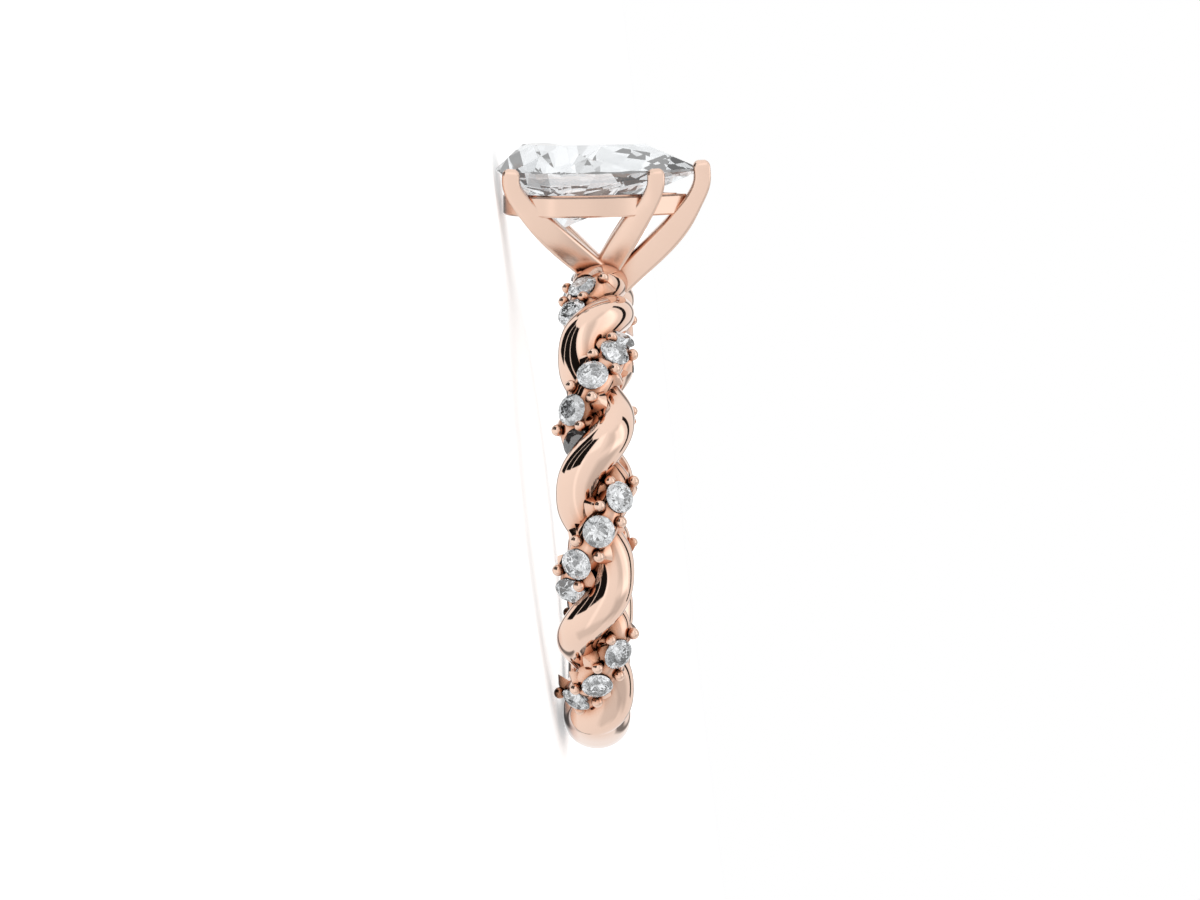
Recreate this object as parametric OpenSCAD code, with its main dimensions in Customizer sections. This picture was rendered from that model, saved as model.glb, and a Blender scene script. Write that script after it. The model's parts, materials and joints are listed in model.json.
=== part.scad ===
/* [Finger hole] */
// Inside diameter of the shank
finger_d = 16.5; // [15:0.1:19]

/* [Shank] */
// Height of the rope's centre line above the finger hole
rope_rise = 0.78; // [0.7:0.01:0.9]
// Ring angle of one full turn of the two strands round each other
turn_angle = 38.1; // [36:0.1:41]
// Thickness of the polished strand
polished_w = 1.75; // [1.6:0.01:1.9]
// Sideways swing of the polished strand each way
polished_swing = 0.66; // [0.55:0.01:0.8]
// Thickness of the strand that carries the accent stones
stone_strand_w = 1.34; // [1.2:0.01:1.5]
// Sideways swing of the stone strand each way
stone_strand_swing = 0.68; // [0.55:0.01:0.8]
// How far each strand rises over and dips under the centre line
strand_lift = 0.46; // [0.4:0.01:0.55]
// How much the stone strand swells where it crosses under the head
head_swell = 0.18; // [0.1:0.01:0.25]
// Width of the plain band at the bottom
band_w = 2.8; // [2.5:0.05:3.2]
// Height of the plain band above the finger hole
band_h = 2.05; // [1.9:0.05:2.3]
// Width of the smooth inner band that lies on the finger
inner_band_w = 1.8; // [1.4:0.05:2.2]
// Thickness of the smooth inner band
inner_band_h = 0.5; // [0.4:0.05:0.6]

/* [Accent stones] */
// Diameter of an accent stone
accent_d = 1.25; // [1.1:0.01:1.3]
// Gap between neighbouring accent stones
accent_gap = 0.17; // [0.15:0.01:0.3]
// Sideways lean of an accent stone at the strand's full swing, in degrees
accent_lean = 33; // [20:1:40]
// Diameter of a bead that holds the accent stones
bead_d = 0.44; // [0.36:0.01:0.46]
// Distance between the two beads of a pair
bead_spread = 1.05; // [1:0.01:1.2]

/* [Center stone] */
// Length of the pear-cut stone
pear_l = 8.5; // [8:0.1:9.2]
// Width of the pear-cut stone
pear_w = 5.5; // [5.2:0.1:6]
// Height of the crown over the girdle
crown_h = 1.0; // [0.8:0.05:1.2]
// Depth of the pavilion under the girdle
pavilion_h = 2.4; // [2.1:0.05:2.6]
// Thickness of the girdle
girdle_h = 0.12; // [0.08:0.01:0.2]
// Height of the girdle's middle above the ring's centre
girdle_z = 14.3; // [13.9:0.05:14.8]

/* [Head] */
// Width of a claw at its tip
claw_w = 0.72; // [0.6:0.01:0.85]
// Width of a claw where it meets the shank
claw_foot_w = 1.15; // [1:0.01:1.3]
// Height of a claw's tip over the girdle
claw_rise = 0.4; // [0.3:0.01:0.5]
// Height of the gallery rail
rail_h = 0.84; // [0.7:0.01:1]
// Wall of the gallery rail
rail_wall = 0.55; // [0.4:0.01:0.7]
// Height of the rail's top under the girdle
rail_drop = 1.0; // [0.8:0.01:1.1]
// Inset of the rail from the girdle's outline
rail_inset = 0.28; // [0.2:0.01:0.4]

/* [Fit] */
// Gap between a stone and its setting
seat_gap = 0.03; // [0.02:0.005:0.05]

/* [Hidden] */
bore_r = finger_d / 2;
rope_r = bore_r + rope_rise;

// The shank's mesh: angle between rings, and points on each strand's arc
ring_step = 4;
polished_points = 11;
stone_points = 9;
// Turns that each half of the shank winds, from the head to the plain band
half_turns = 3.75;
twist_end = half_turns * turn_angle;
// Angle over which the rope melts into the plain band
band_blend = 10;
// Angle over which the two mirrored halves meet under the head
head_blend = 5;
// Angle from the top where the swell of the stone strand has gone
swell_end = 17;
// Lag in degrees that makes the stone strand linger on the outside
stone_lag = 20;
// Least half height of the metal between the two strands, and the fillet there in degrees
neck = 0.3;
fillet = 5;
// Depth of the shank's mesh below the finger hole, which the hole then cuts away
cut_depth = 0.2;
// How far the band's rounded outside reaches below its widest place, in degrees
band_open = 25;

// Groups of accent stones on each half of the shank: which crossing of the stone
// strand, counted from the head, how many stones, and how far the first of them
// lies above the crossing, in turns
stone_groups = [
    // crossing, stones, first
    [0, 2, -0.12],
    [1, 5, 0.38],
    [2, 4, 0.24],
    [3, 3, 0.22]
];

// Claws: station of the tip on the pear's outline (-1 round end, 0 widest, 1 point) and
// station below the gallery rail, side, where the foot stands on the shank as shares of
// the band's width, and share of the tip's height
claws = [
    // tip, rail, side, foot along the finger, foot across, height
    [-0.72, -0.52, -1, 0.18, -0.06, 0.3],
    [-0.72, -0.52, 1, 0.18, 0.06, 0.3],
    [0.67, 0.62, -1, -0.02, -0.06, 0.3],
    [0.67, 0.62, 1, -0.02, 0.06, 0.3],
    [1, 1, 0, 0.3, 0, 1]
];

function smooth(s) = let (c = max(0, min(1, s))) c * c * (3 - 2 * c);
function unit(v) = v / norm(v);

// Angle from the top of the ring, rounded off at the top
function from_top(t) = sqrt(pow(t - 90, 2) + pow(head_blend, 2));
// Winding angle of the polished strand: 0 where it lies outermost
function wind(t) = 270 - 360 * min(from_top(t), twist_end) / turn_angle;
// Sideways swing of the stone strand, from -1 to 1
function stone_swing(u) = -sin(u + stone_lag * sin(u));
// Each strand's centre in the section plane: sideways, then outward from the centre line
function polished_centre(u) = [polished_swing * sin(u), strand_lift * cos(u)];
function stone_centre(u) = [stone_strand_swing * stone_swing(u), -strand_lift * cos(u)];
// That swell at ring angle t
function swell(t) = head_swell * smooth(2 * (1 - from_top(t) / swell_end));
// A point of the section plane at ring angle t, from the ring's centre
function on_ring(p, t) = [p[0], -(rope_r + p[1]) * cos(t), (rope_r + p[1]) * sin(t)];
// How much a strand that crosses on a slant widens its section
turn_rate = 360 / turn_angle / rope_r;
function slant(u) = sqrt(1 + pow(polished_swing * turn_rate * cos(u), 2));

// Points of an arc round centre c that leaves out the side towards the other strand
function lobe(c, r, towards, open, n, wide) =
    [for (i = [0:n - 1]) let (a = towards + open + (360 - 2 * open) * i / (n - 1))
        [wide * (c[0] + r * cos(a)), c[1] + r * sin(a)]];

// Half the angle that an arc of radius r leaves open, towards an arc of radius other
function opening(r, other, apart) =
    fillet + max(asin(neck / r), acos(min(1, (apart * apart + r * r - other * other) / (2 * apart * r))));

// Outline of the two strands together, as one closed loop, the stone strand swollen by more
function rope_section(u, more) =
    let (wide = slant(u),
         p = polished_centre(u),
         s = stone_centre(u) + [0, more],
         pc = [p[0] / wide, p[1]],
         sc = [s[0] / wide, s[1]],
         apart = sc - pc,
         towards = atan2(apart[1], apart[0]),
         pr = polished_w / 2,
         sr = stone_strand_w / 2 + more)
    concat(lobe(pc, pr, towards, opening(pr, sr, norm(apart)), polished_points, wide),
           lobe(sc, sr, towards + 180, opening(sr, pr, norm(apart)), stone_points, wide));

// Outline of the plain band: half an ellipse outside and a boxy half inside
function band_point(a) =
    let (c = cos(a), s = sin(a))
    s >= 0 ? [band_w / 2 * c, (band_h - rope_rise) * s]
           : [band_w / 2 * sign(c) * sqrt(abs(c)), -(rope_rise + cut_depth) * sqrt(-s)];
outer_arc = 180 + 2 * band_open;
band_section = concat(
    [for (i = [0:polished_points - 1]) band_point(-band_open + outer_arc * i / (polished_points - 1))],
    [for (i = [1:stone_points]) band_point(180 + band_open + (360 - outer_arc) * i / (stone_points + 1))]);

// Section of the shank at ring angle t
function shank_section(t) =
    let (rope = rope_section(wind(t), swell(t)), s = smooth((from_top(t) - twist_end) / band_blend))
    [for (i = [0:len(rope) - 1]) rope[i] * (1 - s) + band_section[i] * s];

// The shank outside the inner band, as one closed loop of sections
module shank_loop() {
    n = round(360 / ring_step);
    m = polished_points + stone_points;
    points = [for (i = [0:n - 1]) let (t = -90 + 360 * i / n) each [for (p = shank_section(t)) on_ring(p, t)]];
    // Each face is split along the winding, which turns the other way in the mirrored half
    faces = [for (i = [0:n - 1], j = [0:m - 1])
        let (k = (j + 1) % m, a = i * m, b = ((i + 1) % n) * m)
        each i < n / 2 ? [[a + j, a + k, b + k], [a + j, b + k, b + j]]
                       : [[a + j, a + k, b + j], [a + k, b + k, b + j]]];
    polyhedron(points = points, faces = faces, convexity = 10);
}

module round_through(r, w) {
    rotate([0, 90, 0]) cylinder(r = r, h = w, center = true, $fn = 96);
}

module shank() {
    shank_loop();
    round_through(bore_r + inner_band_h, inner_band_w);
}

// Ring angle between neighbouring accent stones
stone_r = rope_r + strand_lift + stone_strand_w / 2;
path_slant = sqrt(1 + pow(stone_strand_swing * turn_rate * (1 - stone_lag * PI / 180), 2));
accent_step = (accent_d + accent_gap) / (stone_r * (path_slant + 1) / 2) * 180 / PI;
// Height of an accent stone's girdle over the strand's centre, and its own heights
accent_up = stone_strand_w / 2 + 0.02;
accent_crown = 0.16 * accent_d;
accent_pavilion = 0.43 * accent_d;
accent_girdle = 0.04 * accent_d;
// Width of a stone's table as a share of its girdle
table_share = 0.6;

// Middle of a girdle that lies at ring angle t, and the frame there: along, across, outward
function seat_lean(t) = accent_lean * stone_swing(wind(t));
function seat_point(t) =
    let (s = stone_centre(wind(t)), a = seat_lean(t))
    on_ring([s[0] + accent_up * sin(a), s[1] + accent_up * cos(a)], t);
function seat_frame(t) =
    let (along = unit(seat_point(t - 0.5) - seat_point(t + 0.5)),
         a = seat_lean(t),
         out0 = [sin(a), -cos(a) * cos(t), cos(a) * sin(t)],
         out = unit(out0 - along * (out0 * along)))
    [along, cross(out, along), out];

module at_seat(t) {
    f = seat_frame(t);
    c = seat_point(t);
    multmatrix([
        [f[0][0], f[1][0], f[2][0], c[0]],
        [f[0][1], f[1][1], f[2][1], c[1]],
        [f[0][2], f[1][2], f[2][2], c[2]]
    ]) children();
}

// Ring angles of the stones, and of the bead pairs before, between and after them
function first_angle(g) = 90 - (0.25 + g[0] - g[2]) * turn_angle;
stone_angles = [for (g = stone_groups, i = [0:g[1] - 1]) first_angle(g) - i * accent_step];
bead_angles = [for (g = stone_groups, i = [0:g[1]]) first_angle(g) - (i - 0.5) * accent_step];
half_count = len(stone_angles);

// The hole that an accent stone sits in, with its gap
module seat() {
    r = accent_d / 2 + seat_gap;
    rotate_extrude($fn = 32)
        polygon([[0, -accent_pavilion - accent_girdle / 2 - 2 * seat_gap], [r, -accent_girdle / 2 - seat_gap],
                 [r, accent_girdle / 2 + accent_crown + seat_gap], [0, accent_girdle / 2 + accent_crown + seat_gap]]);
}

// How far a bead's post reaches into its strand, and the bead over the girdle
post_depth = 0.55;
bead_rise = 0.2;

// One bead and its post, as a ten-sided pin
module bead() {
    translate([0, 0, -post_depth]) cylinder(d = bead_d, h = post_depth + bead_rise, $fn = 10);
}

module bead_prongs() {
    for (t = bead_angles, side = [-1, 1])
        at_seat(t) translate([0, side * bead_spread / 2, 0]) bead();
}

// Outline of the pear at a station from -1, the round end, by 0, the widest place, to 1, the point
pear_back = pear_w / 2;
pear_front = pear_l - pear_back;
pear_x = -(pear_l - pear_w) / 2;
// Distance along the finger from the widest place to the point, with the outline moved in by d
tip_half_angle = atan2(pear_w / 2 * PI / 2, pear_front);
function front_reach(d) = pear_front - d / sin(tip_half_angle);
function pear_edge(s, d = 0) = s < 0
    ? [(pear_back - d) * s, (pear_w / 2 - d) * sqrt(1 - s * s)]
    : [front_reach(d) * s, (pear_w / 2 - d) * cos(90 * s)];
function pear_slope(s) = s < 0
    ? (s <= -0.999 ? [0, 1] : unit([sqrt(1 - s * s), -s]))
    : unit([pear_front, -pear_w / 2 * PI / 2 * sin(90 * s)]);
// Outward direction of the outline on its upper side
function pear_out(s) = let (d = pear_slope(s)) s <= -0.999 ? [-1, 0] : [-d[1], d[0]];

// The outline as points, moved in by d: the upper side from the round end to the point, then back
stations = concat([for (i = [0:7]) -cos(90 * i / 8)], [for (i = [0:8]) i / 8]);
function full_outline(d) = concat(
    [for (s = stations) pear_edge(s, d)],
    [for (i = [len(stations) - 2:-1:1]) let (e = pear_edge(stations[i], d)) [e[0], -e[1]]]);

rail_top = girdle_z - rail_drop;

module gallery_rail() {
    translate([pear_x, 0, rail_top - rail_h])
        linear_extrude(height = rail_h)
            difference() {
                polygon(full_outline(rail_inset));
                polygon(full_outline(rail_inset + rail_wall));
            }
}

// Middle line of a claw, from its foot in the shank to its tip
claw_foot_z = bore_r + band_h - 0.75;
// How far a claw's middle stands outside the girdle
claw_stand = claw_w * 0.1;
function claw_side(c, s) = c[2] == 0 ? [1, 0] : [pear_out(s)[0], c[2] * pear_out(s)[1]];
function claw_edge(c, s) = let (e = pear_edge(s)) [pear_x + e[0], c[2] * e[1]];
function at_claw(c, s, out, z) = let (e = claw_edge(c, s) + out * claw_side(c, s)) [e[0], e[1], z];
function claw_line(c) =
    [
        // place, share of the way from tip width to foot width
        [[c[3] * band_w, c[4] * band_w, claw_foot_z], 0.8],
        [at_claw(c, c[1], -rail_inset - 0.6 * rail_wall, rail_top - rail_h), 0.5],
        [at_claw(c, (c[0] + c[1]) / 2, -rail_inset - 0.1 * rail_wall, rail_top - rail_h / 2), 0.2],
        [at_claw(c, c[0], claw_stand, girdle_z - rail_drop / 2), 0],
        [at_claw(c, c[0], claw_stand / 2, girdle_z + c[5] * claw_rise), 0]
    ];

// Width of a claw at a share of the way from tip width to foot width
function claw_width(s) = claw_w + (claw_foot_w - claw_w) * s;

// A square bar from a to b, run on past b by a little, with two sides square to the front
module bar(a, b, w, past) {
    go = unit(b - a);
    side = unit(cross([0, 1, 0], go));
    deep = cross(side, go);
    multmatrix([
        [side[0], deep[0], go[0], a[0]],
        [side[1], deep[1], go[1], a[1]],
        [side[2], deep[2], go[2], a[2]]
    ]) translate([-w / 2, -w / 2, 0]) cube([w, w, norm(b - a) + past]);
}

// One claw, as straight bars that grow slimmer from the foot to the tip
module claw(c) {
    line = claw_line(c);
    for (i = [0:len(line) - 2])
        bar(line[i][0], line[i + 1][0], claw_width(line[i][1]), i < len(line) - 2 ? claw_w / 4 : 0);
}

module head_prongs() {
    for (c = claws) claw(c);
}

// A brilliant cut on any outline: table, star, bezel and girdle facets above, and
// pavilion facets below. edge(a) is the outline at angle a, and grow moves it outward
module brilliant(edge, table, table_z, star, star_z, girdle, low, low_z, culet_z) {
    top = [for (i = [0:7]) let (e = edge(45 * i) * table) [e[0], e[1], table_z]];
    mid = [for (i = [0:7]) let (e = edge(45 * i + 22.5) * star) [e[0], e[1], star_z]];
    over = [for (i = [0:31]) let (e = edge(11.25 * i)) [e[0], e[1], girdle / 2]];
    under = [for (i = [0:31]) let (e = edge(11.25 * i)) [e[0], e[1], -girdle / 2]];
    deep = [for (i = [0:7]) let (e = edge(45 * i + 22.5) * low) [e[0], e[1], low_z]];
    points = concat(top, mid, over, under, deep, [[0, 0, culet_z]]);
    faces = concat(
        [[for (i = [7:-1:0]) i]],
        [for (i = [0:7]) let (j = (i + 1) % 8) each [
            [i, j, 8 + i],
            [j, 16 + (4 * j) % 32, 8 + i],
            [i, 8 + i, 16 + 4 * i]]],
        [for (i = [0:7], k = [0:3]) [8 + i, 16 + (4 * i + k + 1) % 32, 16 + 4 * i + k]],
        [for (i = [0:31]) let (j = (i + 1) % 32) each [[16 + i, 16 + j, 48 + i], [16 + j, 48 + j, 48 + i]]],
        [for (i = [0:7], k = [0:3]) [80 + i, 48 + 4 * i + k, 48 + (4 * i + k + 1) % 32]],
        [for (i = [0:7]) let (j = (i + 1) % 8) each [[80 + i, 48 + 4 * j % 32, 88], [80 + i, 88, 48 + 4 * i]]]);
    polyhedron(points = points, faces = faces, convexity = 2);
}

// Outline of the pear at an angle round its widest place
function pear_at(a, grow) =
    let (w = a > 180 ? 360 - a : a,
         s = w > 90 ? cos(w) : 1 - w / 90,
         e = pear_edge(s),
         p = w == 0 ? [front_reach(-grow), 0] : e + grow * pear_out(s))
    [p[0], a > 180 ? -p[1] : p[1]];

module pear_stone(grow) {
    translate([pear_x, 0, girdle_z])
        brilliant(function (a) pear_at(a, grow), table_share, crown_h + girdle_h / 2 + grow, 0.8,
            crown_h * 0.62 + girdle_h / 2 + grow, girdle_h + 2 * grow, 0.55,
            -(girdle_h / 2 + pavilion_h * 0.5 + grow), -(girdle_h / 2 + pavilion_h + 1.5 * grow));
}

// The ring lies on its side, on the pear's round end and on the beads or the band below.
// Each candidate is a place sideways and a height; the floor takes the flattest slope
rest_at = [pear_x - pear_back, girdle_z - girdle_h / 2];
low_beads = [for (t = bead_angles)
    let (f = seat_frame(t), p = seat_point(t) + f[2] * bead_rise - f[1] * (bead_spread / 2 * sign(f[1][0])))
    [p[0] - bead_d / 2, p[2]]];
low_points = concat([[-band_w / 2, -rope_r]], low_beads);
rest_tilt = min([for (p = low_points) atan2(p[0] - rest_at[0], rest_at[1] - p[1])]);
// Reach of the laid ring to each side: the table's edge, and the round of the plain band
head_reach = (girdle_z + girdle_h / 2 + crown_h) * cos(rest_tilt)
    - (pear_x - table_share * pear_back) * sin(rest_tilt);
band_reach = rope_r * cos(rest_tilt)
    + norm([band_w / 2 * sin(rest_tilt), (band_h - rope_rise) * cos(rest_tilt)]);

module laid() {
    translate([(head_reach - band_reach) / 2, 0, -rest_at[0] * cos(rest_tilt) - rest_at[1] * sin(rest_tilt)])
        rotate([0, rest_tilt - 90, 0]) children();
}

module both_halves() {
    children();
    mirror([0, 1, 0]) children();
}

module ring_metal() {
    color("#EBC3AC")
        laid() difference() {
            union() {
                shank();
                both_halves() bead_prongs();
                head_prongs();
                gallery_rail();
            }
            both_halves() for (t = stone_angles) at_seat(t) seat();
            pear_stone(seat_gap);
            round_through(bore_r, 4 * band_w);
        }
}

module center_stone() {
    color("white") laid() pear_stone(0);
}

// Accent stones run down the near half from the head, then down the far half
module accent_stone(i) {
    r = accent_d / 2;
    color("white")
        laid() mirror([0, i < half_count ? 0 : 1, 0]) at_seat(stone_angles[i % half_count])
            brilliant(function (a) r * [cos(a), sin(a)], table_share, accent_crown + accent_girdle / 2, 0.8,
                accent_crown * 0.62 + accent_girdle / 2, accent_girdle, 0.55,
                -(accent_girdle / 2 + accent_pavilion * 0.5), -(accent_girdle / 2 + accent_pavilion));
}

function accent_name(i) = str("accent_stone_", i < 9 ? "0" : "", i + 1);

ring_metal();
center_stone();
for (i = [0:2 * half_count - 1])
    accent_stone(i);
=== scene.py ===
# Twisted shank ring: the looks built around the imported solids.
# All shapes are worked out in millimetres in the ring's own frame: the finger runs along x,
# y points away from the viewer and z up to the head. inFrame() then lays the ring on its side.
import json
import bpy
import numpy as np
from mathutils import Matrix, Vector


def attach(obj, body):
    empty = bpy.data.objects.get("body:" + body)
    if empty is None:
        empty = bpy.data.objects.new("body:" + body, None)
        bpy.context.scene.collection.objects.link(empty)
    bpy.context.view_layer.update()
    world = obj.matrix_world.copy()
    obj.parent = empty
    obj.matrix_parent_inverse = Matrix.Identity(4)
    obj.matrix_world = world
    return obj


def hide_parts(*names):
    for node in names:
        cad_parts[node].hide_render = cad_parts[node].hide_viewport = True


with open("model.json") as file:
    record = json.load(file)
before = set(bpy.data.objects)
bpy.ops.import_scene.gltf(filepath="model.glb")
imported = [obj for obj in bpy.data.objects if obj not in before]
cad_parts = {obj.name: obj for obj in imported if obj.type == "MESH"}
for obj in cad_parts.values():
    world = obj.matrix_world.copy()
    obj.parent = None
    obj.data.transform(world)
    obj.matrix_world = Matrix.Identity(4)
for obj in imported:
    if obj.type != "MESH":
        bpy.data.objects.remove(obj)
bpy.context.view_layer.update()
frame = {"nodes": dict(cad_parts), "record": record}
print("frame loaded:", len(frame["nodes"]), "nodes")

# The finger mount says where the ring lies and how big its hole is
finger = frame["record"]["mounts"][0]
boreR = finger["dims"]["r_mm"]
ringCentre = np.array(finger["pos_m"])
fingerDir = np.array(finger["axis"]) / np.linalg.norm(finger["axis"])
awayDir = np.array([0.0, 1.0, 0.0])
headDir = np.cross(fingerDir, awayDir)
ringAxes = np.array([fingerDir, awayDir, headDir])


def inFrame(points):
    # row frame in metres = ring's centre + (x, y, z) along the three ring directions / 1000
    return ringCentre + np.asarray(points) @ ringAxes / 1000


def unit(v):
    # each vector over its own length
    return v / np.linalg.norm(v, axis=-1, keepdims=True)


def smooth(s):
    # 3s^2 - 2s^3, held at 0 and 1 outside
    s = np.clip(s, 0, 1)
    return s * s * (3 - 2 * s)


# Mesh helpers

def signedVolume(points, faces):
    # sum over each face's fan of triangles of a . (b x c) / 6
    total = 0.0
    for f in faces:
        for k in range(1, f.shape[1] - 1):
            a, b, c = points[f[:, 0]], points[f[:, k]], points[f[:, k + 1]]
            total += np.einsum("ij,ij->i", a, np.cross(b, c)).sum() / 6
    return total


def makePiece(name, points, faces, slotName, material, smoothAngle=None):
    # faces is a list of index arrays, one for each number of corners; they are turned outward
    if signedVolume(points, faces) < 0:
        faces = [f[:, ::-1] for f in faces]
    mesh = bpy.data.meshes.new(name)
    mesh.from_pydata(inFrame(points).tolist(), [], [c for f in faces for c in f.tolist()])
    mesh.materials.append(material)
    if smoothAngle is not None:
        mesh.shade_smooth()
        mesh.set_sharp_from_angle(angle=np.radians(smoothAngle))
    piece = bpy.data.objects.new(name, mesh)
    bpy.context.scene.collection.objects.link(piece)
    return piece


def gridFaces(n, m, closedPath):
    # quads between ring i and i + 1 and places j and j + 1 round each ring
    i, j = np.meshgrid(np.arange(n if closedPath else n - 1), np.arange(m), indexing="ij")
    i, j = i.ravel(), j.ravel()
    i2, j2 = (i + 1) % n, (j + 1) % m
    return np.stack([i * m + j, i * m + j2, i2 * m + j2, i2 * m + j], 1)


def capped(rings):
    # an open run of rings, closed at both ends by a fan to the end ring's middle
    n, m = rings.shape[:2]
    points = np.concatenate([rings.reshape(-1, 3), rings[0].mean(0)[None], rings[-1].mean(0)[None]])
    j = np.arange(m)
    first = np.stack([(j + 1) % m, j, np.full(m, n * m)], 1)
    last = np.stack([(n - 1) * m + j, (n - 1) * m + (j + 1) % m, np.full(m, n * m + 1)], 1)
    return points, [gridFaces(n, m, False), np.concatenate([first, last])]


def looped(rings):
    # a closed run of rings
    n, m = rings.shape[:2]
    return rings.reshape(-1, 3), [gridFaces(n, m, True)]


def joined(parts):
    # several shapes as one mesh: points in a row, each shape's faces moved along
    points = np.concatenate([p for p, _ in parts])
    start = np.cumsum([0] + [len(p) for p, _ in parts])
    faces = {}
    for (_, some), first in zip(parts, start):
        for f in some:
            faces.setdefault(f.shape[1], []).append(f + first)
    return points, [np.concatenate(f) for f in faces.values()]


def outward(part):
    # one closed shape with its faces turned outward
    points, faces = part
    return (points, faces) if signedVolume(points, faces) > 0 else (points, [f[:, ::-1] for f in faces])


# Materials

def newMaterial(name):
    # a material with its tree, its shader and the piece's own coordinates
    mat = bpy.data.materials.new(name)
    mat.use_nodes = True
    nodes, links = mat.node_tree.nodes, mat.node_tree.links
    place = nodes.new("ShaderNodeTexCoord")
    return mat, nodes, links, nodes["Principled BSDF"], place.outputs["Object"]


roseGoldLook = {
    "light": (0.87, 0.645, 0.530, 1),    # colour of the polished metal
    "deep": (0.845, 0.610, 0.490, 1),    # where the alloy is a touch redder
    "patchSize": 260, "patchDetail": 3,  # patches per metre, and how finely they break up
    "rough": (0.035, 0.085),             # roughness between the best and the worst polished places
    "lineSize": 9000, "lineDetail": 2,   # fine polishing lines per metre
    "lineStretch": (1, 1, 0.12),         # they run upward
    "lineDepth": 0.0000012, "lineStrength": 0.35,
    "paintedShadeReach": 0.0009, "paintedShadeSamples": 6,
    # painted crevice shade: openness of a crevice, from ambient occlusion, and the colour that the metal's is
    # multiplied by there, near black as painted shade, then orange as painted bounce light of gold on gold,
    # then 1
    "paintedCreviceShade": [(0.16, (0.025, 0.010, 0.006, 1)), (0.46, (0.80, 0.50, 0.35, 1)), (0.76, (1, 1, 1, 1))],
}


def roseGold(name, rougher=0.0, paintedCreviceShade=None):
    # metal whose colour and roughness drift in soft patches, with very fine polishing lines as
    # bump; in crevices the colour is multiplied by a ramp over their openness from ambient occlusion, painted
    # shade going dark to orange (painted bounce light of gold on gold) to 1, and the crevice argument says
    # how far the ramp is moved to more open places
    look = roseGoldLook
    mat, nodes, links, shader, place = newMaterial(name)
    shader.inputs["Metallic"].default_value = 1.0
    patches = nodes.new("ShaderNodeTexNoise")
    patches.inputs["Scale"].default_value = look["patchSize"]
    patches.inputs["Detail"].default_value = look["patchDetail"]
    links.new(place, patches.inputs["Vector"])
    colours = nodes.new("ShaderNodeMix")
    colours.data_type = "RGBA"
    colours.inputs["A"].default_value = look["light"]
    colours.inputs["B"].default_value = look["deep"]
    links.new(patches.outputs["Fac"], colours.inputs["Factor"])
    shade = colours.outputs["Result"]
    if paintedCreviceShade is not None:
        # painted shade: ambient occlusion darkens the metal's colour in crevices and between parts, with
        # painted orange bounce light between the dark and the open places
        shadeMask = nodes.new("ShaderNodeAmbientOcclusion")
        shadeMask.samples = look["paintedShadeSamples"]
        shadeMask.inputs["Distance"].default_value = look["paintedShadeReach"]
        ramp = nodes.new("ShaderNodeValToRGB")
        ramp.color_ramp.elements.new(0.5)
        for stop, (openness, colour) in zip(ramp.color_ramp.elements, look["paintedCreviceShade"]):
            stop.position, stop.color = openness + paintedCreviceShade, colour
        links.new(shadeMask.outputs["AO"], ramp.inputs["Fac"])
        dark = nodes.new("ShaderNodeMix")
        dark.data_type = "RGBA"
        dark.blend_type = "MULTIPLY"
        dark.inputs["Factor"].default_value = 1.0
        links.new(shade, dark.inputs["A"])
        links.new(ramp.outputs["Color"], dark.inputs["B"])
        shade = dark.outputs["Result"]
    links.new(shade, shader.inputs["Base Color"])
    polish = nodes.new("ShaderNodeMapRange")
    polish.inputs["To Min"].default_value = look["rough"][0] + rougher
    polish.inputs["To Max"].default_value = look["rough"][1] + rougher
    links.new(patches.outputs["Fac"], polish.inputs["Value"])
    links.new(polish.outputs["Result"], shader.inputs["Roughness"])
    lines = nodes.new("ShaderNodeTexNoise")
    lines.inputs["Scale"].default_value = look["lineSize"]
    lines.inputs["Detail"].default_value = look["lineDetail"]
    stretch = nodes.new("ShaderNodeMapping")
    stretch.inputs["Scale"].default_value = look["lineStretch"]
    links.new(place, stretch.inputs["Vector"])
    links.new(stretch.outputs["Vector"], lines.inputs["Vector"])
    bump = nodes.new("ShaderNodeBump")
    bump.inputs["Strength"].default_value = look["lineStrength"]
    bump.inputs["Distance"].default_value = look["lineDepth"]
    links.new(lines.outputs["Fac"], bump.inputs["Height"])
    links.new(bump.outputs["Normal"], shader.inputs["Normal"])
    return mat


diamondLook = {
    "clear": (0.96, 0.98, 1.0, 1),
    "ior": 2.417,
}


def diamond(name, facetCellSize, clearShare, paintedFacetShade, glow):
    # clear stone of high refraction; cells of a painted grey make neighbouring facets differ, a painted
    # reflection of dark surroundings in the base colour, with shade = (cell's random number - clear share) /
    # (1 - clear share), and a faint glow stands for the light that bounces on inside the stone
    look = diamondLook
    mat, nodes, links, shader, place = newMaterial(name)
    shader.inputs["Transmission Weight"].default_value = 1.0
    shader.inputs["Emission Color"].default_value = (1, 1, 1, 1)
    shader.inputs["Emission Strength"].default_value = glow
    shader.inputs["IOR"].default_value = look["ior"]
    shader.inputs["Roughness"].default_value = 0.0
    # painted reflection: these cells put grey to near black into the base colour where real facets would
    # mirror dark surroundings
    facetCells = nodes.new("ShaderNodeTexVoronoi")
    facetCells.inputs["Scale"].default_value = facetCellSize
    links.new(place, facetCells.inputs["Vector"])
    tint = nodes.new("ShaderNodeMix")
    tint.data_type = "RGBA"
    tint.inputs["A"].default_value = look["clear"]
    tint.inputs["B"].default_value = paintedFacetShade
    grey = nodes.new("ShaderNodeSeparateColor")
    links.new(facetCells.outputs["Color"], grey.inputs["Color"])
    facetShade = nodes.new("ShaderNodeMapRange")
    facetShade.inputs["From Min"].default_value = clearShare
    links.new(grey.outputs["Red"], facetShade.inputs["Value"])
    links.new(facetShade.outputs["Result"], tint.inputs["Factor"])
    links.new(tint.outputs["Result"], shader.inputs["Base Color"])
    return mat


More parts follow.
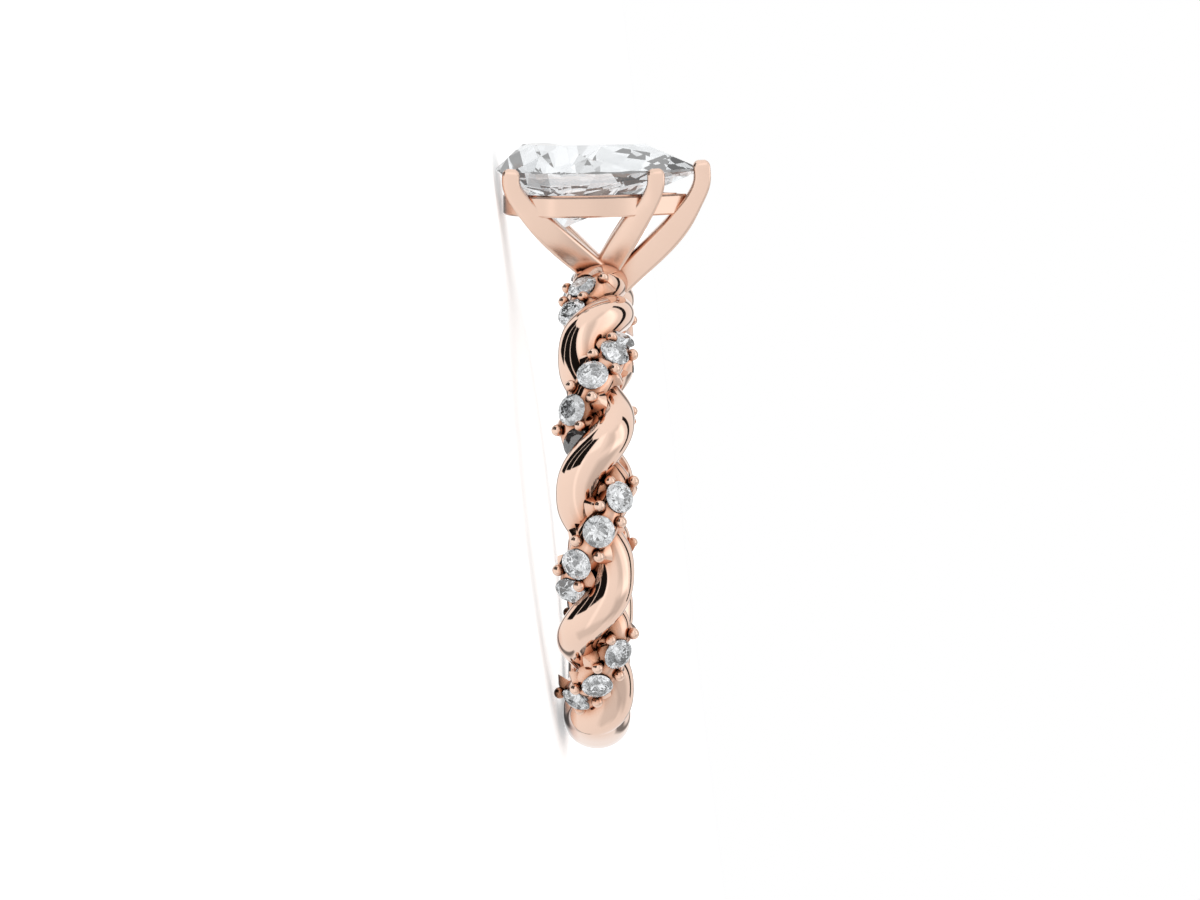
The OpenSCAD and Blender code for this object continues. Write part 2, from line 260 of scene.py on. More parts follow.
# the crevice values move the painted crevice shade towards more open places, or below 0 towards tighter ones
polishedGold = roseGold("polished_rose_gold", paintedCreviceShade=0.12)
headGold = roseGold("head_rose_gold", rougher=0.18, paintedCreviceShade=-0.12)
settingGold = roseGold("setting_rose_gold", rougher=0.02, paintedCreviceShade=0.22)
innerGold = roseGold("inner_rose_gold", rougher=0.06)
# the cells paint light grey reflections all over the centre stone, and reflections from clear to near black
# on the accent stones
centerDiamond = diamond("center_diamond", facetCellSize=900, clearShare=0.0,
                        paintedFacetShade=(0.74, 0.77, 0.79, 1), glow=0.028)
accentDiamond = diamond("accent_diamond", facetCellSize=4200, clearShare=0.3,
                        paintedFacetShade=(0.03, 0.032, 0.035, 1), glow=0.012)
print("materials made")

# The rope that the shank is wound as

rope = {
    "rise": 0.78,            # centre line over the finger hole
    "turnAngle": 38.1,       # ring angle of one full turn
    "halfTurns": 3.75,       # turns from the head to the plain band
    "headBlend": 5.0,        # ring angle over which the mirrored halves meet
    "lift": 0.46,            # each strand's rise over the centre line
    "polishedW": 1.75, "polishedSwing": 0.66,
    "stoneW": 1.34, "stoneSwing": 0.68, "stoneLag": 20.0,
    "headSwell": 0.18, "swellEnd": 17.0,     # the stone strand's swell where it crosses under the head
    "bandW": 2.8, "bandH": 2.035, "bandBlend": 10.0,
    "bandRoot": 0.2,                         # the band's side reaches this far below the finger hole
}
ropeR = boreR + rope["rise"]
twistEnd = rope["halfTurns"] * rope["turnAngle"]
turnRate = 360 / rope["turnAngle"] / ropeR


def fromTop(t):
    # angle from the top of the ring, rounded off there: sqrt((t - 90)^2 + blend^2)
    return np.sqrt((t - 90) ** 2 + rope["headBlend"] ** 2)


def wind(t):
    # winding angle of the polished strand in radians, 0 where it lies outermost
    return np.radians(270 - 360 * np.minimum(fromTop(t), twistEnd) / rope["turnAngle"])


def stoneSwing(u):
    # -sin(u + lag sin u): the stone strand lingers on the outside
    return -np.sin(u + np.radians(rope["stoneLag"]) * np.sin(u))


def stoneCentre(u):
    # the stone strand lies opposite the polished one: swing x stoneSwing, -lift x cos u
    return rope["stoneSwing"] * stoneSwing(u), -rope["lift"] * np.cos(u)


def swell(t):
    # swell x smooth(2 (1 - angle from the top / end))
    return rope["headSwell"] * smooth(2 * (1 - fromTop(t) / rope["swellEnd"]))


def onRing(side, out, t):
    # a point of the section plane at ring angle t in degrees
    a = np.radians(t)
    r = ropeR + out
    return np.stack(np.broadcast_arrays(side, -r * np.cos(a), r * np.sin(a)), -1)


def slant(u):
    # a strand that crosses on a slant shows a wider section: sqrt(1 + (swing x turn rate x cos u)^2)
    return np.sqrt(1 + (rope["polishedSwing"] * turnRate * np.cos(u)) ** 2)


def roundSection(cx, cz, rx, rz, outer, inner, floor, limit=0.98):
    # an ellipse whose underside is flat along the finger hole: an arc down to the floor on both
    # sides with its last points right on the edge, and a straight run between them; the floor is
    # held within the share limit of the ellipse's half height
    cx, cz, rx, rz = (v[:, None] for v in np.broadcast_arrays(cx, cz, rx, rz))
    low = np.arcsin(np.clip((floor - cz) / rz, -limit, limit))
    a = low + (np.pi - 2 * low) * np.linspace(0, 1, outer)[None]
    arc = np.stack([cx + rx * np.cos(a), cz + rz * np.sin(a)], -1)
    s = np.linspace(1, -1, inner + 2)[None, 1:-1]
    reach = np.cos(low) * -s
    flat = np.stack([cx + rx * reach, np.maximum(cz - rz * np.sqrt(1 - reach ** 2), floor)], -1)
    return np.concatenate([arc, flat], 1)


def bandSection(outer, inner, floor):
    # half an ellipse outside; below its widest place a boxy side that ends on the finger hole
    deep = rope["rise"] + rope["bandRoot"]
    low = -np.arcsin((floor / deep) ** 2)
    a = low + (np.pi - 2 * low) * np.linspace(0, 1, outer)
    c, s = np.cos(a), np.sin(a)
    half, top = rope["bandW"] / 2, rope["bandH"] - rope["rise"]
    arc = np.where((s >= 0)[:, None], np.stack([half * c, top * s], 1),
                   np.stack([half * np.sign(c) * np.sqrt(np.abs(c)), -deep * np.sqrt(np.abs(s))], 1))
    x = np.linspace(arc[-1, 0], arc[0, 0], inner + 2)[1:-1]
    return np.concatenate([arc, np.stack([x, np.full(inner, floor)], 1)])


strandMesh = {
    "rings": 900,            # sections round the ring
    "outer": 84,             # points of the polished strand's outside
    "stoneOuter": 60,        # and of the stone strand's
    "inner": 10,             # points along the finger hole
    "skin": 0.012,           # the strands stay this far over the inner band's bore
    "tail": 4.0,             # ring angle by which the stone strand runs on inside the plain band
    "smoothTo": 40, "stoneSmoothTo": 28,     # sharper edges than this many degrees stay sharp
}


def polishedStrand():
    # ellipse carried round the ring on its winding centre, which melts into the plain band
    # below: section = (1 - s) x ellipse + s x band, s going smoothly from 0 to 1
    t = -90 + 360 * np.arange(strandMesh["rings"]) / strandMesh["rings"]
    u = wind(t)
    floor = -rope["rise"] + strandMesh["skin"]
    half = rope["polishedW"] / 2
    oval = roundSection(rope["polishedSwing"] * np.sin(u), rope["lift"] * np.cos(u), half * slant(u), half,
                        strandMesh["outer"], strandMesh["inner"], floor)
    band = bandSection(strandMesh["outer"], strandMesh["inner"], floor)
    s = smooth((fromTop(t) - twistEnd) / rope["bandBlend"])[:, None, None]
    section = oval * (1 - s) + band * s
    rings = onRing(section[..., 0], section[..., 1], t[:, None])
    return makePiece("polished_strand_and_band", *looped(rings), "rose_gold", polishedGold,
                     strandMesh["smoothTo"])


polishedPiece = polishedStrand()
print("polished strand:", len(polishedPiece.data.polygons), "faces")

# Seats of the accent stones

accent = {
    "d": 1.25, "gap": 0.17, "lean": 33.0, "up": 0.02,
    "crown": 0.16, "pavilion": 0.43, "girdle": 0.04,     # shares of the diameter
    "table": 0.6,                                        # and of the girdle's width
    "girdleSides": 32,
    "groups": [(0, 2, -0.12), (1, 5, 0.38), (2, 4, 0.24), (3, 3, 0.22)],   # crossing, stones, first
}
accentUp = rope["stoneW"] / 2 + accent["up"]
pathSlant = np.sqrt(1 + (rope["stoneSwing"] * turnRate * (1 - np.radians(rope["stoneLag"]))) ** 2)
accentStep = np.degrees((accent["d"] + accent["gap"])
                        / ((ropeR + rope["lift"] + rope["stoneW"] / 2) * (pathSlant + 1) / 2))


def firstAngle(crossing, first):
    # the stone strand lies outermost a quarter turn and whole turns from the top; a group's first
    # stone is the share first of a turn nearer to the top
    return 90 - (0.25 + crossing - first) * rope["turnAngle"]


stoneAngles = np.array([firstAngle(c, f) - i * accentStep for c, n, f in accent["groups"] for i in range(n)])
beadAngles = np.array([firstAngle(c, f) - (i - 0.5) * accentStep
                       for c, n, f in accent["groups"] for i in range(n + 1)])


def seatPoint(t):
    # the strand's centre plus its radius along the lean
    u = wind(t)
    side, out = stoneCentre(u)
    lean = np.radians(accent["lean"]) * stoneSwing(u)
    return onRing(side + accentUp * np.sin(lean), out + accentUp * np.cos(lean), t)


def seatFrame(t):
    # rows: along the strand, from seats half a degree to each side, across it, and outward with
    # the lean
    along = unit(seatPoint(t - 0.5) - seatPoint(t + 0.5))
    lean = np.radians(accent["lean"]) * stoneSwing(wind(t))
    a = np.radians(t)
    out = np.stack([np.sin(lean), -np.cos(lean) * np.cos(a), np.cos(lean) * np.sin(a)], -1)
    out = unit(out - along * (out * along).sum(-1, keepdims=True))
    return np.stack([along, np.cross(out, along), out], -2)


def placed(points, t, far):
    # local points put at the seat of ring angle t, on the near or the mirrored far half
    p = points @ seatFrame(t) + seatPoint(t)
    return p * (1, -1, 1) if far else p


def lathe(profile, sides):
    # profile (r, z) from the low pole to the high pole, turned round z
    a = 2 * np.pi * np.arange(sides) / sides
    rings = np.stack([profile[:, 0, None] * np.cos(a), profile[:, 0, None] * np.sin(a),
                      np.broadcast_to(profile[:, 1, None], (len(profile), sides))], -1)
    return capped(rings)


seat = {"gap": 0.03, "bottomR": 0.06, "top": 0.6, "sides": 56}     # the cone that is cut away


def stoneStrand():
    # round strand wound against the polished one, with a cone cut away under each stone
    n = strandMesh["rings"]
    end = twistEnd + strandMesh["tail"]
    t = np.linspace(90 - end, 90 + end, n)
    u = wind(t)
    side, out = stoneCentre(u)
    half = rope["stoneW"] / 2 + swell(t)
    section = roundSection(side, out + swell(t), half * slant(u), half, strandMesh["stoneOuter"],
                           strandMesh["inner"], -rope["rise"] + 2 * strandMesh["skin"])
    rings = onRing(section[..., 0], section[..., 1], t[:, None])
    strand = makePiece("stone_strand", *capped(rings), "rose_gold", settingGold)
    r = accent["d"] / 2 + seat["gap"]
    g = accent["girdle"] * accent["d"] / 2
    low = -accent["pavilion"] * accent["d"] - 2 * seat["gap"]
    profile = np.array([(seat["bottomR"], low), (r, -g - seat["gap"]), (r, seat["top"])])
    cone = lathe(profile, seat["sides"])
    cuts = joined([outward((placed(cone[0], a, far), cone[1])) for a in stoneAngles for far in (False, True)])
    cutter = makePiece("seat_cutter", *cuts, "rose_gold", settingGold)
    seats = strand.modifiers.new("seats", "BOOLEAN")
    seats.operation = "DIFFERENCE"
    seats.object = cutter
    seats.solver = "MANIFOLD"
    bpy.context.view_layer.update()
    done = bpy.data.meshes.new_from_object(strand.evaluated_get(bpy.context.evaluated_depsgraph_get()))
    strand.modifiers.clear()
    strand.data = done
    bpy.data.objects.remove(cutter)
    done.name = "stone_strand"
    done.shade_smooth()
    done.set_sharp_from_angle(angle=np.radians(strandMesh["stoneSmoothTo"]))
    return strand


stonePiece = stoneStrand()
print("stone strand:", len(stonePiece.data.polygons), "faces")

# Inner band that lies on the finger

innerBand = {"w": 1.8, "h": 0.5, "edge": 0.06, "rings": 360, "cornerPoints": 5}


def smoothBand():
    # a box section with rounded edges, carried round the finger hole
    w, h, e = innerBand["w"] / 2, innerBand["h"], innerBand["edge"]
    a = np.radians(np.linspace(0, 90, innerBand["cornerPoints"]))
    places = [(w - e, h - e, 0), (-w + e, h - e, 90), (-w + e, e, 180), (w - e, e, 270)]
    side = np.concatenate([x + e * np.cos(a + np.radians(q)) for x, _, q in places])
    out = np.concatenate([z + e * np.sin(a + np.radians(q)) for _, z, q in places]) - rope["rise"]
    t = 360 * np.arange(innerBand["rings"]) / innerBand["rings"]
    rings = onRing(side[None], out[None], t[:, None])
    return makePiece("inner_band", *looped(rings), "rose_gold", innerGold, strandMesh["smoothTo"])


innerPiece = smoothBand()
print("inner band made")

# Bead prongs: a polished ball on a small four-sided post, in pairs between the stones

bead = {
    "d": 0.47, "spread": 1.07, "rise": 0.235,
    "postTop": 0.17, "postFoot": 0.44, "postDepth": 0.55,
    "sides": 24, "ballRings": 13, "postRings": 5,
    "neck": -50,             # latitude where the ball meets its post
    "pole": 88,              # and where its cap starts
    "corner": 1.25,          # power p of the post's outline: 2 is round, 1 a sharp square
    "grow": 1.15, "fade": 0.15,      # the outline's size, and how far it has turned round at the neck
    "smoothTo": 35,
}


def beadShape():
    # a ball whose underside runs into a square post: radius = ball's circle above, and below it
    # a four-cornered outline r / (|cos a|^p + |sin a|^p)^(1/p) that widens to the foot
    a = 2 * np.pi * np.arange(bead["sides"]) / bead["sides"]
    r = bead["d"] / 2
    polar = np.radians(np.linspace(bead["neck"], bead["pole"], bead["ballRings"]))
    ball = np.stack([r * np.cos(polar), bead["rise"] - r + r * np.sin(polar)], 1)
    neckZ = ball[0, 1]
    s = np.linspace(0, 1, bead["postRings"], endpoint=False)
    post = np.stack([bead["postFoot"] + (bead["postTop"] - bead["postFoot"]) * s,
                     -bead["postDepth"] + (neckZ + bead["postDepth"]) * s], 1)
    profile = np.concatenate([post, ball])
    p = bead["corner"]
    square = (np.abs(np.cos(a)) ** p + np.abs(np.sin(a)) ** p) ** (-1 / p)
    share = np.concatenate([1 - bead["fade"] * s, np.zeros(len(ball))])[:, None]
    grow = profile[:, 0, None] * (share * square[None] * bead["grow"] + (1 - share))
    rings = np.stack([grow * np.cos(a), grow * np.sin(a),
                      np.broadcast_to(profile[:, 1, None], grow.shape)], -1)
    return capped(rings)


def beadProngs(far):
    points, faces = beadShape()
    shift = np.array([0, bead["spread"] / 2, 0])
    parts = [outward((placed(points + side * shift, t, far), faces)) for t in beadAngles for side in (-1, 1)]
    name = "bead_prongs_far" if far else "bead_prongs_near"
    return makePiece(name, *joined(parts), "rose_gold", settingGold, bead["smoothTo"])


beadPieces = [beadProngs(False), beadProngs(True)]
print("bead prongs made")

# The pear's outline, which the stone, the rail and the claws follow

pear = {
    "l": 8.5, "w": 5.5, "crown": 1.0, "pavilion": 2.4, "girdle": 0.12, "girdleZ": 14.3, "table": 0.6,
    "girdleSides": 48,
}
pearBack = pear["w"] / 2
pearFront = pear["l"] - pearBack
pearX = -(pear["l"] - pear["w"]) / 2
tipHalf = np.arctan2(pear["w"] / 2 * np.pi / 2, pearFront)


def pearEdge(s, inset=0.0):
    # a circle behind the widest place and y = w/2 cos(90 s) before it, both moved in by inset
    s = np.asarray(s, float)
    inset = np.asarray(inset, float)
    front = pearFront - inset / np.sin(tipHalf)
    x = np.where(s < 0, (pearBack - inset) * s, front * s)
    y = (pear["w"] / 2 - inset) * np.where(s < 0, np.sqrt(np.clip(1 - s * s, 0, 1)), np.cos(np.pi / 2 * s))
    return np.stack(np.broadcast_arrays(x, y), -1)


def pearOut(s):
    # outward direction of the outline on its upper side
    if s < 0:
        return np.array([s, np.sqrt(1 - s * s)])
    slope = unit(np.array([pearFront, -pear["w"] / 2 * np.pi / 2 * np.sin(np.pi / 2 * s)]))
    return np.array([-slope[1], slope[0]])


# Claws

claw = {
    "w": 0.72, "footW": 1.15, "rise": 0.4, "edge": 0.16,
    "sink": 0.75,            # the foot starts this deep in the rope
    "stand": 0.1,            # share of its width that the claw's middle stands off the girdle
    "lowDeep": 0.6, "midDeep": 0.1,      # share of the rail's wall that its middle lies inside the rail
    "wider": (0.8, 0.5, 0.2, 0.0, 0.0),  # share of the foot's extra width at each point of its line
    "tipLength": 0.3, "tipW": 0.35,      # domed tip: its length, and the share of the width left
    "tipEnd": 0.985,         # how far along the tip the dome goes
    "rings": 90, "edgePoints": 6, "smoothTo": 30,
    "places": {
        # station of the tip and station below the rail, side, foot along and across, height
        "claw_round_near": (-0.72, -0.52, -1, 0.18, -0.06, 0.3),
        "claw_round_far": (-0.72, -0.52, 1, 0.18, 0.06, 0.3),
        "claw_shoulder_near": (0.67, 0.62, -1, -0.02, -0.06, 0.3),
        "claw_shoulder_far": (0.67, 0.62, 1, -0.02, 0.06, 0.3),
        "claw_point": (1.0, 1.0, 0, 0.3, 0.0, 1.0),
    },
}
rail = {
    "h": 0.84, "wall": 0.55, "drop": 1.0, "inset": 0.28, "bevel": 0.07,
    "groove": (0.2, 0.31), "grooveDepth": 0.07, "grooveSlope": 0.03, "lip": 0.04,
    "tipCut": 0.1,           # its point is cut off this much, inside the claw
    "backPoints": 40, "frontPoints": 60, "smoothTo": 25,
}
railTop = pear["girdleZ"] - rail["drop"]


def alongPoints(points, n):
    # smooth curve through the points, by distance: Hermite cubics whose slope at a point is the
    # slopes of its two sides, each weighed by the other side's length
    place = np.concatenate([[0], np.cumsum(np.linalg.norm(np.diff(points[:, :3], axis=0), axis=1))])
    gap = np.diff(place)[:, None]
    slope = np.diff(points, axis=0) / gap
    inner = (slope[:-1] * gap[1:] + slope[1:] * gap[:-1]) / (gap[:-1] + gap[1:])
    slope = np.concatenate([slope[:1], inner, slope[-1:]])
    x = np.linspace(0, place[-1], n)
    i = np.clip(np.searchsorted(place, x, side="right") - 1, 0, len(points) - 2)
    h = gap[i]
    s = (x - place[i])[:, None] / h
    return ((2 * s ** 3 - 3 * s ** 2 + 1) * points[i] + (s ** 3 - 2 * s ** 2 + s) * h * slope[i]
            + (3 * s ** 2 - 2 * s ** 3) * points[i + 1] + (s ** 3 - s ** 2) * h * slope[i + 1])


def boxSection(w, d, edge, n):
    # a rectangle w x d with rounded corners: four quarter circles of radius edge
    a = np.radians(np.linspace(0, 90, n))
    x = np.concatenate([sx * (w / 2 - edge) + edge * np.cos(a + np.radians(q))
                        for sx, q in ((1, 0), (-1, 90), (-1, 180), (1, 270))])
    y = np.concatenate([sy * (d / 2 - edge) + edge * np.sin(a + np.radians(q))
                        for sy, q in ((1, 0), (1, 90), (-1, 180), (-1, 270))])
    return np.stack([x, y], 1)


def clawPiece(name):
    # the rounded square carried along the claw's line, with two sides square to the front, its
    # width shrinking over a domed tip: sqrt(1 - (1 - distance to the end / tip length)^2)
    station, railStation, side, footX, footY, share = claw["places"][name]
    stand = claw["w"] * claw["stand"]

    def at(s, reach, z):
        edge = pearEdge(s) * (1, side)
        out = np.array([1.0, 0.0]) if side == 0 else pearOut(s) * (1, side)
        return [pearX + edge[0] + reach * out[0], edge[1] + reach * out[1], z]

    low, mid = (-rail["inset"] - claw[k] * rail["wall"] for k in ("lowDeep", "midDeep"))
    line = np.array([
        [footX * rope["bandW"], footY * rope["bandW"], boreR + rope["bandH"] - claw["sink"]],
        at(railStation, low, railTop - rail["h"]),
        at((station + railStation) / 2, mid, railTop - rail["h"] / 2),
        at(station, stand, pear["girdleZ"] - rail["drop"] / 2),
        at(station, stand / 2, pear["girdleZ"] + share * claw["rise"]),
    ])
    line = alongPoints(np.column_stack([line, claw["wider"]]), claw["rings"])
    path, width = line[:, :3], claw["w"] + (claw["footW"] - claw["w"]) * line[:, 3:]
    go = unit(np.gradient(path, axis=0))
    across = unit(np.cross([0.0, 1.0, 0.0], go))
    deep = np.cross(across, go)
    toTip = np.linalg.norm(path - path[-1], axis=1)
    dome = np.sqrt(1 - np.clip(1 - toTip / claw["tipLength"], 0, claw["tipEnd"]) ** 2)
    section = boxSection(1, 1, claw["edge"], claw["edgePoints"])
    size = width[:, 0] * (claw["tipW"] + (1 - claw["tipW"]) * dome)
    rings = (path[:, None] + section[None, :, 0, None] * size[:, None, None] * across[:, None]
             + section[None, :, 1, None] * size[:, None, None] * deep[:, None])
    return makePiece(name, *capped(rings), "rose_gold", headGold, claw["smoothTo"])


clawPieces = [clawPiece(name) for name in claw["places"]]
print("claws made")


def galleryRail():
    # profile of inset and height carried along the pear's outline: flat outside, bevelled
    # edges, and a raised lip inside a fine groove on the top; x is held below the blunt point
    b, w, h = rail["bevel"], rail["wall"], rail["h"]
    g0, g1 = rail["groove"]
    deep, slope, lip = h - rail["grooveDepth"], rail["grooveSlope"], rail["lip"]
    profile = np.array([
        (0, b), (0, h - b), (b, h), (g0, h), (g0 + slope, deep), (g1 - slope, deep), (g1, h + lip),
        (w - lip, h + lip), (w, h - lip / 2), (w, b), (w - b, 0), (b, 0)])
    back = -np.cos(np.radians(np.linspace(0, 90, rail["backPoints"], endpoint=False)))
    front = np.linspace(0, 1, rail["frontPoints"])
    s = np.concatenate([back, front])
    flip = np.concatenate([np.ones(len(s)), -np.ones(len(s) - 2)])
    s = np.concatenate([s, s[-2:0:-1]])
    e = pearEdge(s[:, None], rail["inset"] + profile[None, :, 0])
    z = np.broadcast_to(railTop - h + profile[None, :, 1], e.shape[:2])
    blunt = np.minimum(e[..., 0], pearFront - rail["inset"] / np.sin(tipHalf) - rail["tipCut"])
    rings = np.stack([pearX + blunt, e[..., 1] * flip[:, None], z], -1)
    return makePiece("gallery_rail", *looped(rings), "rose_gold", headGold, rail["smoothTo"])


railPiece = galleryRail()
print("gallery rail made")

# Cut stones: a solid inside a set of planes, each facet one plane

cut = {
    "mains": 8,              # main facets round the stone
    "starMeet": 0.52,        # share of the crown's height where the stars end
    "lowerMeet": 0.74,       # share of the pavilion's depth where the lower girdle facets end
    "tangentStep": 0.5,      # degrees to each side of a place that give its tangent
    "reach": 1.2,            # corners are looked for within this many times the outline's size
    "same": 1e-7, "onFacet": 2e-5,       # how near a corner is to a plane that it counts as on
    "digits": 5,             # decimals by which two corners are told apart
}


def corners(normals, offsets, reach):
    # every three planes meet in a point; the points inside all the planes are the corners
    n = len(normals)
    i, j, k = np.array(np.meshgrid(np.arange(n), np.arange(n), np.arange(n), indexing="ij")).reshape(3, -1)
    keep = (i < j) & (j < k)
    i, j, k = i[keep], j[keep], k[keep]
    a = np.stack([normals[i], normals[j], normals[k]], 1)
    ok = np.abs(np.linalg.det(a)) > cut["same"]
    p = np.linalg.solve(a[ok], np.stack([offsets[i], offsets[j], offsets[k]], 1)[ok][..., None])[..., 0]
    p = p[(np.abs(p) < reach).all(1)]
    p = p[(p @ normals.T < offsets + cut["same"]).all(1)]
    first = np.unique(np.round(p, cut["digits"]), axis=0, return_index=True)[1]
    return p[first]


def cutStone(outline, table, girdle, crown, pavilion, sides):
    # outline(a) gives points of the girdle at angles a in degrees; a plane through three points
    # makes each star, upper and lower girdle facet, and one through the outline's tangent each main
    g = girdle / 2
    count = cut["mains"]
    main = 360 / count * np.arange(count)
    between = main + 180 / count

    def at(a, z, share=1.0):
        return np.column_stack([outline(a) * share, np.full(len(a), z)])

    def plane(p, q, r):
        n = unit(np.cross(q - p, r - p))
        d = (n * p).sum(1)
        return n * np.sign(d)[:, None], np.abs(d)

    def tangentPoint(a):
        step = cut["tangentStep"]
        return np.column_stack([outline(a + step) - outline(a - step), np.zeros(len(a))])

    top, over, under = at(main, g + crown, table), at(main, g), at(main, -g)
    overMid, underMid = at(between, g), at(between, -g)
    culet = np.tile([0, 0, -g - pavilion], (count, 1))
    kite = plane(over, over + tangentPoint(main), top)
    deep = plane(under, under + tangentPoint(main), culet)

    def meeting(facets, z):
        # where two neighbouring facets meet at height z
        n, d = facets
        flat = np.tile([0.0, 0.0, 1.0], (count, 1))
        a = np.stack([n, np.roll(n, -1, 0), flat], 1)
        return np.linalg.solve(a, np.stack([d, np.roll(d, -1), np.full(count, z)], 1)[..., None])[..., 0]

    mid, low = meeting(kite, g + crown * cut["starMeet"]), meeting(deep, -g - pavilion * cut["lowerMeet"])
    girdleAt = 360 * np.arange(sides) / sides
    wallA, wallB = at(girdleAt, g), at(girdleAt + 360 / sides, g)
    up = np.tile([0, 0, 1.0], (sides, 1))
    sets = [
        (np.array([[0, 0, 1.0]]), np.array([g + crown])), kite, deep,
        plane(top, np.roll(top, -1, 0), mid),
        plane(over, overMid, mid), plane(overMid, np.roll(over, -1, 0), mid),
        plane(under, underMid, low), plane(underMid, np.roll(under, -1, 0), low),
        plane(wallA, wallB, wallA + up),
    ]
    normals = np.concatenate([n for n, _ in sets])
    offsets = np.concatenate([d for _, d in sets])
    points = corners(normals, offsets, cut["reach"] * np.abs(outline(np.arange(0, 360, 5.0))).max())
    faces = {}
    for n, d in zip(normals, offsets):
        on = np.flatnonzero(np.abs(points @ n - d) < cut["onFacet"])
        if len(on) < 3:
            continue
        p = points[on] - points[on].mean(0)
        x = unit(p[np.linalg.norm(p, axis=1).argmax()])
        order = np.argsort(np.arctan2(p @ np.cross(n, x), p @ x))
        faces.setdefault(len(on), []).append(on[order])
    return points, [np.array(f) for f in faces.values()]


def pearOutline(a):
    # outline of the pear at angles round its widest place, the point at 0
    a = np.asarray(a, float) % 360
    w = np.where(a > 180, 360 - a, a)
    s = np.where(w > 90, np.cos(np.radians(w)), 1 - w / 90)
    return pearEdge(s) * np.stack([np.ones(len(a)), np.where(a > 180, -1, 1)], 1)


def circleOutline(a):
    # a circle of the accent stone's diameter
    a = np.radians(a)
    return accent["d"] / 2 * np.stack([np.cos(a), np.sin(a)], 1)


pearPoints, pearFaces = cutStone(pearOutline, pear["table"], pear["girdle"], pear["crown"],
                                 pear["pavilion"], pear["girdleSides"])
centerStone = makePiece("center_diamond", pearPoints + (pearX, 0, pear["girdleZ"]), pearFaces,
                        "center_diamond", centerDiamond)
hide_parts("center_stone")
print("center stone:", len(centerStone.data.polygons), "facets")

roundPoints, roundFaces = cutStone(
    circleOutline, accent["table"], accent["girdle"] * accent["d"], accent["crown"] * accent["d"],
    accent["pavilion"] * accent["d"], accent["girdleSides"])
accentPieces = []
for far in (False, True):
    for t in stoneAngles:
        number = len(accentPieces) + 1
        stone = makePiece(f"accent_diamond_{number:02d}", placed(roundPoints, t, far), roundFaces,
                          "accent_diamond", accentDiamond)
        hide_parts(f"accent_stone_{number:02d}")
        accentPieces.append(stone)
print("accent stones:", len(accentPieces), "of", len(accentPieces[0].data.polygons), "facets")

metal = [polishedPiece, stonePiece, innerPiece, *beadPieces, *clawPieces, railPiece]
for piece in metal:
    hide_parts("ring_metal")
    piece.visible_transmission = False   # the stones show the tent's light, not the metal behind them
for piece in [*metal, centerStone, *accentPieces]:
    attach(piece, "root")

# Camera, floor and studio

camera = {
    "target": (0.08, 0, 2.43), "distance": 100.0,        # in the ring's own millimetres
    "azimuth": 0.7, "elevation": 10.0,                   # to the right and up, in degrees
    "lens": 70.5, "sensor": 36, "clip": (0.002, 20),     # clip distances in metres
}


def placeCamera():
    # camera on a sphere round the target in the ring's frame, its up side towards the head
    a, e = np.radians(camera["azimuth"]), np.radians(camera["elevation"])
    back = np.array([np.sin(a) * np.cos(e), -np.cos(a) * np.cos(e), np.sin(e)])
    right = unit(np.cross([0, 0, 1.0], back))
    up = np.cross(back, right)
    data = bpy.data.cameras.new("camera")
    data.lens = camera["lens"]
    data.sensor_width = camera["sensor"]
    data.clip_start, data.clip_end = camera["clip"]
    seen = bpy.data.objects.new("camera", data)
    bpy.context.scene.collection.objects.link(seen)
    turn = np.array([right, up, back]) @ ringAxes
    place = inFrame(np.array(camera["target"]) + camera["distance"] * back)
    seen.matrix_world = Matrix.Translation(Vector(place)) @ Matrix(turn.T.tolist()).to_4x4()
    bpy.context.scene.camera = seen


placeCamera()

floorLook = {"half": 3.0, "colour": (0.9, 0.9, 0.9, 1), "rough": 0.6, "gloss": 0.1, "glow": 0.42}


def makeFloor():
    # a flat square whose corners are half its side away along x and y; its glow thins the shadow
    half = floorLook["half"]
    mesh = bpy.data.meshes.new("floor")
    mesh.from_pydata([(x * half, y * half, 0) for x, y in ((-1, -1), (1, -1), (1, 1), (-1, 1))], [],
                     [(0, 1, 2, 3)])
    floor = bpy.data.objects.new("floor", mesh)
    bpy.context.scene.collection.objects.link(floor)
    mat, _, _, shader, _ = newMaterial("pale_floor")
    shader.inputs["Base Color"].default_value = floorLook["colour"]
    shader.inputs["Roughness"].default_value = floorLook["rough"]
    shader.inputs["Specular IOR Level"].default_value = floorLook["gloss"]
    shader.inputs["Emission Color"].default_value = (1, 1, 1, 1)
    shader.inputs["Emission Strength"].default_value = floorLook["glow"]
    mesh.materials.append(mat)
    floor.visible_glossy = False         # the polished metal mirrors the tent all round
    floor.visible_transmission = False


makeFloor()

studio = {
    "white": 1.0,            # strength of the white tent, and how much it grows to the right,
    "slope": (-0.06, 0.0, 0.05),         # towards the viewer and upward
    "shown": 1.0,            # strength of the backdrop as the camera sees it
    "throughStones": 0.5,    # share of the cards' darkness that is seen through the stones
    "least": 0.01,           # light that is left in the darkest card
    # cards in the tent: middle azimuth and elevation seen from the ring, 0 towards the viewer and
    # positive to the picture's right and up, half widths, soft edge, all in degrees, and darkness,
    # which is below 0 for a brighter place
    "cards": [(-40, 40, 17, 26, 1.2, 1), (-73, 38, 14.5, 26, 1.2, 1), (-105, 34, 16, 28, 1.2, 1),
              (112, 12, 6, 40, 1.2, 1), (-150, 0, 8, 70, 5, 0.8), (155, 12, 7, 50, 5, 0.8),
              (55, 36, 30, 30, 16, 0.2), (60, -30, 34, 30, 18, 0.3), (0, -60, 60, 24, 14, 0.2),
              (0, 50, 20, 22, 10, -0.22), (75, 20, 22, 34, 10, -0.5), (-20, -12, 10, 40, 8, -0.18)],
}


